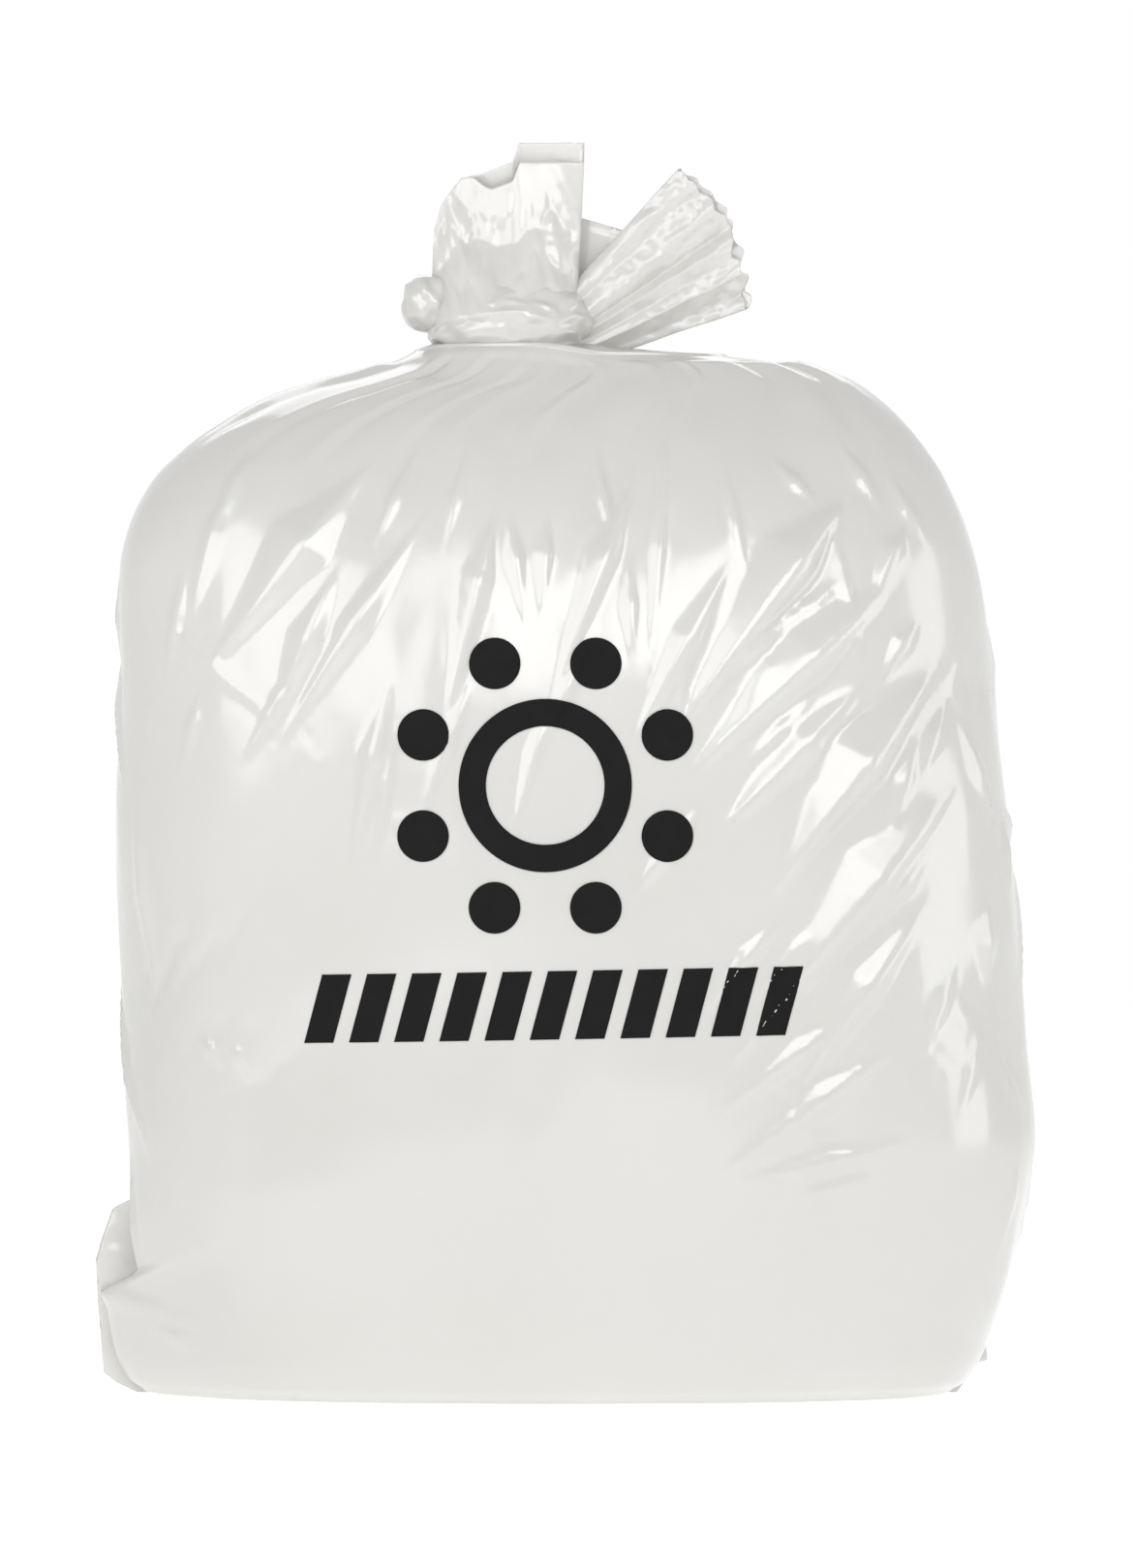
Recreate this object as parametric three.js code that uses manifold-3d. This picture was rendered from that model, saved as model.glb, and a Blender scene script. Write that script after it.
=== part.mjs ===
// A filled waste bag of thin polyethylene film, standing on its base with its mouth knotted in its own film.
// Millimetres, +Z up, the printed front facing -Y, the origin on the floor under the middle of the bag.
import * as THREE from "three";
import { ConvexGeometry } from "three/addons/geometries/ConvexGeometry.js";
import { mergeVertices } from "three/addons/utils/BufferGeometryUtils.js";
import Module from "manifold-3d";

// The filled body, from the floor to the knot
const BODY_HEIGHT = 700;
const BODY_WIDTH = 608;
const BODY_DEPTH = 344;

// The neck, where the film is gathered under the knot, a little left of the middle
const NECK_WIDTH = 112;
const NECK_DEPTH = 84;
const NECK_SHIFT = -34;
const NECK_PLEATS = 11;
const PLEAT_DEPTH = 5;

// The knot of wrapped film on top of the neck
const KNOT_WIDTH = 130;
const KNOT_DEPTH = 96;
const KNOT_HEIGHT = 56;
const KNOT_OVERLAP = 8;

// The crumpled bunch of film that stands up from the left of the knot
const BUNCH_HEIGHT = 142;
const BUNCH_WIDTH = 124;
const BUNCH_DEPTH = 76;
const BUNCH_SHIFT = -13;
const BUNCH_PLEATS = 6;
const BUNCH_PLEAT_DEPTH = 3;

// The fan of film that leaves the knot to the right
const EAR_LENGTH = 124;
const EAR_WIDTH = 104;
const EAR_THICKNESS = 46;
const EAR_ANGLE = 35;
const EAR_PLEATS = 7;
const EAR_PLEAT_DEPTH = 3;

// The piece of mouth rim between the bunch and the fan, at the back
const RIM_HEIGHT = 96;
const RIM_WIDTH = 62;
const RIM_THICKNESS = 20;
const RIM_DROP = 14;
const RIM_SHIFT_BACK = 8;

// The two empty corners of the bottom weld, which stand out beside the body
const LEFT_CORNER_REACH = 26;
const LEFT_CORNER_HEIGHT = 132;
const RIGHT_CORNER_REACH = 18;
const RIGHT_CORNER_HEIGHT = 68;
const CORNER_THICKNESS = 12;
const CORNER_ROOT = 70;

// Sides of the lofted sections, and how square the sections are: 2 is an ellipse
const BODY_SIDES = 60;
const TAIL_SIDES = 36;
const NECK_SQUARENESS = 2;
const BELLY_SQUARENESS = 2.4;
const TAIL_SQUARENESS = 2.2;

// The share of the body's height above which the film is gathered into pleats
const PLEATS_START = 0.5;

// How full the body is at each height, which is a share of its own height. The other values run from 0, as
// narrow as the neck, to 1, as wide as the belly: to the left, to the right, and to the front and back.
const BODY_SECTIONS = [
  { height: 0, left: 0.8, right: 0.82, depth: 0.7 },
  { height: 0.008, left: 0.84, right: 0.865, depth: 0.78 },
  { height: 0.024, left: 0.875, right: 0.9, depth: 0.84 },
  { height: 0.06, left: 0.905, right: 0.935, depth: 0.9 },
  { height: 0.11, left: 0.925, right: 0.975, depth: 0.94 },
  { height: 0.17, left: 0.945, right: 1.015, depth: 0.97 },
  { height: 0.235, left: 0.95, right: 1.04, depth: 0.99 },
  { height: 0.33, left: 0.957, right: 1.015, depth: 1 },
  { height: 0.44, left: 0.968, right: 0.99, depth: 1 },
  { height: 0.57, left: 0.981, right: 0.968, depth: 0.98 },
  { height: 0.67, left: 0.984, right: 0.945, depth: 0.93 },
  { height: 0.757, left: 0.977, right: 0.917, depth: 0.85 },
  { height: 0.814, left: 0.958, right: 0.887, depth: 0.76 },
  { height: 0.857, left: 0.915, right: 0.855, depth: 0.66 },
  { height: 0.896, left: 0.83, right: 0.81, depth: 0.54 },
  { height: 0.93, left: 0.68, right: 0.74, depth: 0.4 },
  { height: 0.957, left: 0.48, right: 0.66, depth: 0.26 },
  { height: 0.977, left: 0.28, right: 0.57, depth: 0.15 },
  { height: 0.99, left: 0.15, right: 0.45, depth: 0.08 },
  { height: 1, left: 0.02, right: 0.25, depth: 0.02 },
];

// The main creases of the film in front, as kites with a sharp crest. The crest runs from one place to another, given
// as shares of the body's half width and of its height. The flanks are shares of the half width; they are widest at
// the peak, a share of the crest's length, and the slope is that of the first flank.
const CREASES = [
  { from: [0.618, 0.857], to: [0.21, 0.611], flanks: [0.086, 0.046], peak: 0.25, slope: 0.4 },
  { from: [0.737, 0.783], to: [0.257, 0.586], flanks: [0.092, 0.049], peak: 0.4, slope: 0.4 },
  { from: [0.671, 0.686], to: [0.316, 0.529], flanks: [0.053, 0.056], peak: 0.4, slope: 0.4 },
  { from: [0.836, 0.706], to: [0.447, 0.477], flanks: [0.099, 0.049], peak: 0.45, slope: 0.4 },
  { from: [0.868, 0.591], to: [0.342, 0.311], flanks: [0.086, 0.056], peak: 0.35, slope: 0.38 },
  { from: [0.809, 0.483], to: [0.487, 0.286], flanks: [0.049, 0.043], peak: 0.45, slope: 0.34 },
  { from: [0.73, 0.34], to: [0.316, 0.21], flanks: [0.046, 0.039], peak: 0.4, slope: 0.34 },
  { from: [0.158, 0.877], to: [-0.033, 0.654], flanks: [0.046, 0.036], peak: 0.35, slope: 0.42 },
  { from: [-0.145, 0.849], to: [-0.257, 0.64], flanks: [0.049, 0.039], peak: 0.35, slope: 0.42 },
  { from: [-0.414, 0.891], to: [-0.783, 0.689], flanks: [0.092, 0.066], peak: 0.4, slope: 0.3 },
  { from: [-0.487, 0.794], to: [-0.651, 0.617], flanks: [0.053, 0.043], peak: 0.4, slope: 0.36 },
  { from: [-0.289, 0.846], to: [-0.618, 0.623], flanks: [0.046, 0.039], peak: 0.5, slope: 0.38 },
  { from: [-0.375, 0.686], to: [-0.474, 0.48], flanks: [0.043, 0.036], peak: 0.35, slope: 0.4 },
  { from: [0.368, 0.8], to: [0.132, 0.606], flanks: [0.046, 0.036], peak: 0.4, slope: 0.4 },
];

// How deep each crease is rooted in the body, so that the two join
const CREASE_ROOT = 12;

// The bunch: shares of its height, of its half width to the left and right of its root, and of its depth
const BUNCH_SECTIONS = [
  { height: 0.05, left: 0.75, right: 0.95, depth: 0.9 },
  { height: 0.14, left: 0.95, right: 1.05, depth: 1 },
  { height: 0.23, left: 1, right: 1, depth: 0.9 },
  { height: 0.36, left: 0.95, right: 0.95, depth: 0.8 },
  { height: 0.44, left: 0.72, right: 0.95, depth: 0.72 },
  { height: 0.55, left: 0.63, right: 0.97, depth: 0.66 },
  { height: 0.7, left: 0.56, right: 1, depth: 0.54 },
  { height: 0.82, left: 0.36, right: 1, depth: 0.4 },
  { height: 0.88, left: -0.11, right: 1, depth: 0.28 },
  { height: 1, left: -0.29, right: 1, depth: 0.12 },
];

// The fan: shares of its length, of its half width above and below its axis, and of its thickness. It starts
// inside the knot.
const EAR_SECTIONS = [
  { along: -0.12, above: 0.3, below: 0.4, thickness: 0.9 },
  { along: 0, above: 0.35, below: 0.56, thickness: 1 },
  { along: 0.2, above: 0.46, below: 0.66, thickness: 0.92 },
  { along: 0.48, above: 0.66, below: 0.86, thickness: 0.8 },
  { along: 0.76, above: 0.85, below: 1.06, thickness: 0.62 },
  { along: 0.85, above: 0.9, below: 0.8, thickness: 0.5 },
  { along: 0.93, above: 0.93, below: 0.5, thickness: 0.4 },
  { along: 1, above: 0.5, below: 0.1, thickness: 0.25 },
];

// The outline of each corner: shares of its reach beyond the body's side, and of its height
const LEFT_CORNER_OUTLINE = [
  [0, 1],
  [1, 0.68],
  [0.78, 0.1],
  [-0.35, 0],
];
const RIGHT_CORNER_OUTLINE = [
  [1, 1],
  [0.45, 0.8],
  [0.6, 0.32],
  [0.15, 0.32],
  [-0.55, 0],
];

// How full the body is where each corner leaves it
const LEFT_CORNER_FULLNESS = 0.945;
const RIGHT_CORNER_FULLNESS = 0.9;

const mix = THREE.MathUtils.lerp;
const wasm = await Module();
wasm.setup();

// A closed geometry as a solid that can be joined
function toSolid(geometry) {
  const bare = geometry.clone();
  bare.deleteAttribute("normal");
  bare.deleteAttribute("uv");
  const merged = mergeVertices(bare, 1e-3);
  return new wasm.Manifold(
    new wasm.Mesh({
      numProp: 3,
      vertProperties: merged.attributes.position.array,
      triVerts: new Uint32Array(merged.index.array),
    }),
  );
}

function toGeometry(solid) {
  const mesh = solid.getMesh();
  const geometry = new THREE.BufferGeometry();
  geometry.setAttribute("position", new THREE.BufferAttribute(mesh.vertProperties, 3));
  geometry.setIndex(new THREE.BufferAttribute(mesh.triVerts, 1));
  geometry.computeVertexNormals();
  return geometry;
}

// A closed skin through a row of sections. It starts as a lathe form with one ring for each section, and each
// ring is then set to pointAt(section, turn). Both ends close on the middle of the end section.
function loft(sections, sides, pointAt, middleOf) {
  const last = sections.length - 1;
  const profile = [
    new THREE.Vector2(0, 0),
    ...sections.map((_, row) => new THREE.Vector2(1, row)),
    new THREE.Vector2(0, last),
  ];
  const geometry = new THREE.LatheGeometry(profile, sides);
  const position = geometry.attributes.position;
  for (let index = 0; index < position.count; index += 1) {
    const row = (index % profile.length) - 1;
    const step = Math.floor(index / profile.length) % sides;
    const turn = (step / sides) * 2 * Math.PI;
    const section = sections[Math.min(Math.max(row, 0), last)];
    const isEnd = row < 0 || row > last;
    const point = isEnd ? middleOf(section) : pointAt(section, turn);
    position.setXYZ(index, point.x, point.y, point.z);
  }
  return geometry;
}

// Where a turn around a section falls on a rounded rectangle of half sizes 1 and 1
function roundedTurn(turn, squareness) {
  const power = 2 / squareness;
  const across = Math.sin(turn);
  const deep = -Math.cos(turn);
  return {
    across: Math.sign(across) * Math.abs(across) ** power,
    deep: Math.sign(deep) * Math.abs(deep) ** power,
  };
}

// How far the body reaches to the left or right of the bag's axis
function leftSide(fullness) {
  return mix(NECK_WIDTH / 2 - NECK_SHIFT, BODY_WIDTH / 2, fullness);
}

function rightSide(fullness) {
  return mix(NECK_WIDTH / 2 + NECK_SHIFT, BODY_WIDTH / 2, fullness);
}

function makeBody() {
  const pointAt = (section, turn) => {
    const { across, deep } = roundedTurn(turn, mix(NECK_SQUARENESS, BELLY_SQUARENESS, section.depth));
    const halfDepth = mix(NECK_DEPTH, BODY_DEPTH, section.depth) / 2;
    const gathered = section.height > PLEATS_START ? (1 - section.depth) ** 2 : 0;
    const pleat = PLEAT_DEPTH * gathered * Math.cos(NECK_PLEATS * turn);
    return new THREE.Vector3(
      across * (across < 0 ? leftSide(section.left) : rightSide(section.right)),
      deep * (halfDepth + pleat),
      section.height * BODY_HEIGHT,
    );
  };
  const middleOf = (section) => new THREE.Vector3(NECK_SHIFT, 0, section.height * BODY_HEIGHT);
  return loft(BODY_SECTIONS, BODY_SIDES, pointAt, middleOf);
}

// The front of the body at a place on it, before it is creased
function frontPoint(x, z) {
  const height = z / BODY_HEIGHT;
  const above = BODY_SECTIONS.findIndex((section) => section.height > height);
  const [low, high] = [BODY_SECTIONS[above - 1], BODY_SECTIONS[above]];
  const share = (height - low.height) / (high.height - low.height);
  const full = (key) => mix(low[key], high[key], share);
  const side = x < 0 ? leftSide(full("left")) : rightSide(full("right"));
  const squareness = mix(NECK_SQUARENESS, BELLY_SQUARENESS, full("depth"));
  const deep = Math.max(1 - Math.abs(x / side) ** squareness, 0) ** (1 / squareness);
  return new THREE.Vector3(x, (-deep * mix(NECK_DEPTH, BODY_DEPTH, full("depth"))) / 2, z);
}

// A crease as a row of wedges along its crest, each between two stations of the crest
function makeCrease({ from, to, flanks, peak, slope }) {
  const half = BODY_WIDTH / 2;
  const start = new THREE.Vector2(from[0] * half, from[1] * BODY_HEIGHT);
  const end = new THREE.Vector2(to[0] * half, to[1] * BODY_HEIGHT);
  const along = end.clone().sub(start).normalize();
  const aside = new THREE.Vector2(along.y, -along.x);
  const stations = [0, peak / 2, peak, (1 + 2 * peak) / 3, (2 + peak) / 3, 1].map((share) => {
    const width = Math.min(share / peak, (1 - share) / (1 - peak)) * half;
    const place = start.clone().lerp(end, share);
    const feet = [flanks[0], -flanks[1]].map((flank) => {
      const foot = place.clone().addScaledVector(aside, flank * width);
      return frontPoint(foot.x, foot.y);
    });
    const middle = frontPoint(place.x, place.y);
    const ahead = frontPoint(place.x + along.x, place.y + along.y).sub(middle);
    const across = frontPoint(place.x + aside.x, place.y + aside.y).sub(middle);
    const outward = ahead.cross(across).normalize();
    const crest = middle.clone().addScaledVector(outward, Math.sign(-outward.y) * slope * flanks[0] * width);
    const roots = [...feet, middle].map((point) => point.clone().add(new THREE.Vector3(0, CREASE_ROOT, 0)));
    return [...feet, crest, ...roots];
  });
  return stations.slice(1).map((station, index) => new ConvexGeometry([...stations[index], ...station]));
}

// The knot: a flattened ball that sinks a little into the gathered neck
function makeKnot() {
  const knot = new THREE.SphereGeometry(1, 32, 16);
  knot.scale(KNOT_WIDTH / 2, KNOT_DEPTH / 2, KNOT_HEIGHT / 2);
  knot.translate(NECK_SHIFT, 0, BODY_HEIGHT + KNOT_HEIGHT / 2 - KNOT_OVERLAP);
  return knot;
}

function makeBunch() {
  const rootX = NECK_SHIFT + BUNCH_SHIFT;
  const middle = (section) => {
    const shift = ((section.right - section.left) * BUNCH_WIDTH) / 4;
    return new THREE.Vector3(rootX + shift, 0, BODY_HEIGHT + section.height * BUNCH_HEIGHT);
  };
  const pointAt = (section, turn) => {
    const { across, deep } = roundedTurn(turn, TAIL_SQUARENESS);
    const halfWidth = ((section.left + section.right) * BUNCH_WIDTH) / 4;
    const halfDepth = (section.depth * BUNCH_DEPTH) / 2;
    const pleat = BUNCH_PLEAT_DEPTH * section.depth * Math.cos(BUNCH_PLEATS * turn);
    const offset = new THREE.Vector3(across * halfWidth, deep * (halfDepth + pleat), 0);
    return middle(section).add(offset);
  };
  return loft(BUNCH_SECTIONS, TAIL_SIDES, pointAt, middle);
}

function makeEar() {
  const angle = THREE.MathUtils.degToRad(EAR_ANGLE);
  const alongAxis = new THREE.Vector3(Math.cos(angle), 0, Math.sin(angle));
  const acrossAxis = new THREE.Vector3(-Math.sin(angle), 0, Math.cos(angle));
  const rootHeight = BODY_HEIGHT + KNOT_HEIGHT / 2 - KNOT_OVERLAP;
  const root = new THREE.Vector3(NECK_SHIFT + KNOT_WIDTH / 4, 0, rootHeight);
  const middle = (section) => {
    const shift = ((section.above - section.below) * EAR_WIDTH) / 4;
    return root
      .clone()
      .addScaledVector(alongAxis, section.along * EAR_LENGTH)
      .addScaledVector(acrossAxis, shift);
  };
  const pointAt = (section, turn) => {
    const { across, deep } = roundedTurn(turn, TAIL_SQUARENESS);
    const halfWidth = ((section.above + section.below) * EAR_WIDTH) / 4;
    const pleat = EAR_PLEAT_DEPTH * Math.cos(EAR_PLEATS * turn);
    const halfDepth = (section.thickness * EAR_THICKNESS) / 2 + pleat;
    const point = middle(section).addScaledVector(acrossAxis, -across * halfWidth);
    point.y += deep * halfDepth;
    return point;
  };
  return loft(EAR_SECTIONS, TAIL_SIDES, pointAt, middle);
}

// A flat piece of film: an outline in the XZ plane with its thickness along Y
function flatPiece(corners, thickness, middleY) {
  const shape = new THREE.Shape(corners.map(([x, z]) => new THREE.Vector2(x, z)));
  const piece = new THREE.ExtrudeGeometry(shape, { depth: thickness, bevelEnabled: false });
  piece.rotateX(Math.PI / 2);
  piece.translate(0, middleY + thickness / 2, 0);
  return piece;
}

function makeRim() {
  const left = NECK_SHIFT;
  const right = left + KNOT_WIDTH / 4 + RIM_WIDTH;
  const top = BODY_HEIGHT + RIM_HEIGHT;
  const corners = [
    [left, BODY_HEIGHT + KNOT_OVERLAP],
    [right, BODY_HEIGHT + KNOT_HEIGHT / 2],
    [right, top - RIM_DROP],
    [right - RIM_WIDTH / 2, top],
    [left, top],
  ];
  return flatPiece(corners, RIM_THICKNESS, RIM_SHIFT_BACK);
}

// A corner of the weld. direction is -1 on the left and 1 on the right.
function makeCorner(outline, side, reach, height, direction) {
  const root = side - CORNER_ROOT;
  const outside = outline.map(([out, up]) => [side + out * reach, up * height]);
  const corners = [[root, height], ...outside, [root, 0]];
  return flatPiece(
    corners.map(([x, z]) => [direction * x, z]),
    CORNER_THICKNESS,
    0,
  );
}

function makeCorners() {
  const left = leftSide(LEFT_CORNER_FULLNESS);
  const right = rightSide(RIGHT_CORNER_FULLNESS);
  return [
    makeCorner(LEFT_CORNER_OUTLINE, left, LEFT_CORNER_REACH, LEFT_CORNER_HEIGHT, -1),
    makeCorner(RIGHT_CORNER_OUTLINE, right, RIGHT_CORNER_REACH, RIGHT_CORNER_HEIGHT, 1),
  ];
}

function makeBag() {
  const creases = CREASES.flatMap(makeCrease);
  const shapes = [makeKnot(), makeBunch(), makeEar(), makeRim(), ...makeCorners(), ...creases];
  const joined = shapes.reduce((whole, shape) => whole.add(toSolid(shape)), toSolid(makeBody()));
  const geometry = toGeometry(joined);
  geometry.computeBoundingBox();
  const middle = geometry.boundingBox.getCenter(new THREE.Vector3());
  geometry.translate(-middle.x, -middle.y, 0);
  const film = new THREE.MeshStandardMaterial({ color: 0xdcdbd7, roughness: 0.25, metalness: 0 });
  const bag = new THREE.Mesh(geometry, film);
  bag.name = "film_bag";
  return bag;
}

const wasteBag = new THREE.Group();
wasteBag.add(makeBag());

export default wasteBag;
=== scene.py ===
"""A filled waste bag of glossy, milky film with its mouth knotted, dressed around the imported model.

Metres, +Z up, the printed front facing -Y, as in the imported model.
"""

import math

import bmesh
import bpy
import numpy as np
from mathutils import Matrix, Vector, noise
from mathutils.bvhtree import BVHTree


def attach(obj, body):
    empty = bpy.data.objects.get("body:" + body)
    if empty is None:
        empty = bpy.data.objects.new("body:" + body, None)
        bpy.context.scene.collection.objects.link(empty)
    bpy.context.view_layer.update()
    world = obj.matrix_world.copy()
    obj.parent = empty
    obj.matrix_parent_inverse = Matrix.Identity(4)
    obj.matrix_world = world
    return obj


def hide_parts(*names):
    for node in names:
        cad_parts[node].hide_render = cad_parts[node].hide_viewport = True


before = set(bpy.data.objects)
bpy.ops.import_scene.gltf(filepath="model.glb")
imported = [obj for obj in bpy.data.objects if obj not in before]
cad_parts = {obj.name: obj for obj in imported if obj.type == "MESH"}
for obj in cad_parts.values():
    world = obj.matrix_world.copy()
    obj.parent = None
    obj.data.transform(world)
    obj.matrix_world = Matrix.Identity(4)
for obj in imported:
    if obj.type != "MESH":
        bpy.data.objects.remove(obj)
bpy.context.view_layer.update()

# The filled body, the neck and the knot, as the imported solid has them
BODY_HEIGHT = 0.700
BODY_WIDTH = 0.608
BODY_DEPTH = 0.344
NECK_WIDTH = 0.112
NECK_DEPTH = 0.084
NECK_SHIFT = -0.034
BODY_MIDDLE = 0.0015
BELLY_SQUARENESS = 2.4

# How full the body is at each height: share of its height, then fullness to the left, right and front
BODY_SECTIONS = (
    (0.0, 0.8, 0.82, 0.7),
    (0.008, 0.84, 0.865, 0.78),
    (0.024, 0.875, 0.9, 0.84),
    (0.06, 0.905, 0.935, 0.9),
    (0.11, 0.925, 0.975, 0.94),
    (0.17, 0.945, 1.015, 0.97),
    (0.235, 0.95, 1.04, 0.99),
    (0.33, 0.957, 1.015, 1.0),
    (0.44, 0.968, 0.99, 1.0),
    (0.57, 0.981, 0.968, 0.98),
    (0.67, 0.984, 0.945, 0.93),
    (0.757, 0.977, 0.917, 0.85),
    (0.814, 0.958, 0.887, 0.76),
    (0.857, 0.915, 0.855, 0.66),
    (0.896, 0.83, 0.81, 0.54),
    (0.93, 0.68, 0.74, 0.4),
    (0.957, 0.48, 0.66, 0.26),
    (0.977, 0.28, 0.57, 0.15),
    (0.99, 0.15, 0.45, 0.08),
    (1.0, 0.02, 0.25, 0.02),
)

# The mesh of the film in the simulation, which is then refined once both ways
COLUMNS = 216
SIDE_ROWS = 100
BASE_RINGS = 8
FRONT_DENSITY = 0.35


class Film:
    """The film's grid: rows from the middle of the base to the neck, columns round the bag from the back."""

    def __init__(self):
        heights = np.linspace(0, 1, 400)
        table = np.array(BODY_SECTIONS)
        left, right, depth = (smooth_curve(table[:, 0], table[:, k], heights) for k in (1, 2, 3))
        self.left = blend_value(NECK_WIDTH / 2 - NECK_SHIFT, BODY_WIDTH / 2, left)
        self.right = blend_value(NECK_WIDTH / 2 + NECK_SHIFT, BODY_WIDTH / 2, right)
        self.depth = blend_value(NECK_DEPTH / 2, BODY_DEPTH / 2, depth)
        self.square = blend_value(2.0, BELLY_SQUARENESS, depth)
        self.z = heights * BODY_HEIGHT
        reach = (self.left + self.right) / 4 + self.depth / 2
        steps = np.hypot(np.diff(self.z), np.diff(reach))
        self.travelled = np.concatenate(([0], np.cumsum(steps)))
        self.wanted = np.linspace(0, self.travelled[-1], SIDE_ROWS)

    def row(self, k):
        """The half sizes, squareness and height of side row k."""
        place = self.wanted[k]
        values = (self.left, self.right, self.depth, self.square, self.z)
        return [np.interp(place, self.travelled, v) for v in values]

    def ring(self, k):
        """COLUMNS points round side row k, closer together in front, starting at the back."""
        left, right, depth, square, z = self.row(k)
        turn = np.linspace(0, 2 * math.pi, 1441)
        across, deep = -np.sin(turn), np.cos(turn)
        x = np.sign(across) * np.abs(across) ** (2 / square)
        y = np.sign(deep) * np.abs(deep) ** (2 / square) * depth
        x = np.where(x < 0, x * left, x * right)
        steps = np.concatenate(([0], np.cumsum(np.hypot(np.diff(x), np.diff(y)))))
        wanted = way_round(np.arange(COLUMNS) / COLUMNS) * steps[-1]
        ring_x = np.interp(wanted, steps, x) + BODY_MIDDLE
        return np.stack((ring_x, np.interp(wanted, steps, y), np.full(COLUMNS, z)), 1)


def way_round(share):
    """How far round the bag from the back, as a share, the column at this share of the columns lies."""
    return share + FRONT_DENSITY * np.sin(2 * math.pi * share) / (2 * math.pi)


def smooth_curve(known, values, wanted):
    """A smooth line through the known values, without overshoot."""
    slopes = np.gradient(values, known)
    k = np.clip(np.searchsorted(known, wanted, side="right") - 1, 0, len(known) - 2)
    span = known[k + 1] - known[k]
    t = (wanted - known[k]) / span
    return (
        (2 * t**3 - 3 * t**2 + 1) * values[k]
        + (t**3 - 2 * t**2 + t) * span * slopes[k]
        + (3 * t**2 - 2 * t**3) * values[k + 1]
        + (t**3 - t**2) * span * slopes[k + 1]
    )


def blend_value(low, high, share):
    return low + (high - low) * share


MM = 0.001

# Flat-sided creases of the taut film, in millimetres: the X and Z where the crest starts and ends, the
# widths of the flank that faces the lamps and of the shaded one, the share of the crest at which both
# are widest, and the slope
MAIN_CREASES = (
    (188, 600, 64, 428, 30, 14, 0.25, 0.31),
    (224, 548, 78, 410, 32, 15, 0.40, 0.31),
    (204, 480, 96, 370, 20, 17, 0.40, 0.32),
    (254, 494, 136, 334, 34, 15, 0.45, 0.32),
    (264, 414, 104, 218, 30, 17, 0.35, 0.31),
    (246, 338, 148, 200, 15, 13, 0.45, 0.34),
    (222, 238, 96, 147, 14, 12, 0.40, 0.34),
    (48, 614, -10, 458, 14, 11, 0.35, 0.42),
    (-44, 594, -78, 448, 15, 12, 0.35, 0.42),
    (-126, 624, -238, 482, 28, 20, 0.40, 0.30),
    (-148, 556, -198, 432, 16, 13, 0.40, 0.36),
    (-88, 592, -188, 436, 14, 12, 0.50, 0.38),
    (-114, 480, -144, 336, 13, 11, 0.35, 0.40),
    (112, 560, 40, 424, 14, 11, 0.40, 0.40),
)
SMALL_CREASES = (
    (196, 552, 60, 452, 10, 9, 0.45, 0.36),
    (214, 462, 150, 402, 11, 9, 0.40, 0.38),
    (236, 440, 214, 372, 10, 8, 0.40, 0.36),
    (250, 376, 190, 300, 11, 9, 0.40, 0.36),
    (150, 330, 84, 250, 10, 8, 0.45, 0.36),
    (96, 400, 40, 330, 9, 8, 0.45, 0.36),
    (195, 262, 100, 191, 11, 9, 0.4, 0.36),
    (240, 176, 106, 144, 10, 9, 0.5, 0.34),
    (215, 152, 143, 134, 8, 7, 0.5, 0.3),
    (262, 296, 236, 222, 9, 7, 0.4, 0.36),
    (278, 250, 262, 180, 7, 6, 0.4, 0.34),
    (176, 594, 200, 478, 6, 5, 0.5, 0.45),
    (228, 584, 202, 520, 12, 8, 0.3, 0.36),
    (240, 524, 206, 470, 12, 8, 0.4, 0.36),
    (258, 470, 232, 400, 9, 7, 0.4, 0.36),
    (150, 548, 100, 470, 9, 7, 0.4, 0.42),
    (168, 470, 120, 420, 8, 7, 0.5, 0.42),
    (206, 420, 130, 330, 8, 7, 0.5, 0.42),
    (190, 340, 120, 262, 8, 7, 0.5, 0.40),
    (226, 300, 160, 232, 7, 6, 0.5, 0.38),
    (84, 524, 74, 440, 7, 6, 0.4, 0.42),
    (102, 640, 121, 545, 6, 6, 0.6, 0.42),
    (70, 655, 57, 480, 7, 6, 0.5, 0.42),
    (136, 628, 170, 594, 8, 7, 0.5, 0.4),
    (182, 640, 214, 590, 8, 7, 0.5, 0.4),
    (214, 620, 244, 566, 7, 6, 0.5, 0.4),
    (20, 640, 34, 560, 6, 5, 0.5, 0.42),
    (44, 567, 46, 486, 8, 6, 0.5, 0.42),
    (24, 520, -30, 400, 8, 7, 0.4, 0.42),
    (-36, 590, -24, 512, 9, 7, 0.4, 0.42),
    (-10, 590, -14, 518, 9, 6, 0.4, 0.42),
    (-62, 640, -80, 560, 6, 6, 0.5, 0.4),
    (-96, 636, -128, 560, 7, 6, 0.5, 0.4),
    (-60, 480, -96, 380, 9, 7, 0.4, 0.42),
    (-8, 470, -34, 372, 8, 7, 0.4, 0.42),
    (-110, 452, -126, 352, 8, 7, 0.4, 0.42),
    (-168, 500, -214, 420, 8, 7, 0.4, 0.4),
    (-206, 640, -240, 560, 8, 8, 0.4, 0.36),
    (-220, 620, -252, 508, 9, 8, 0.4, 0.36),
    (-250, 560, -266, 470, 7, 6, 0.4, 0.36),
    (-240, 476, -256, 410, 6, 6, 0.4, 0.34),
    (-246, 250, -222, 218, 6, 5, 0.5, 0.4),
    (-224, 246, -204, 214, 6, 5, 0.5, 0.4),
    (-306, 76, -226, 46, 10, 12, 0.3, 0.34),
    (-262, 52, -230, 28, 7, 8, 0.5, 0.4),
)
OTHER_CREASES = 70
CORNER_FOLD = 0.074

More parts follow.
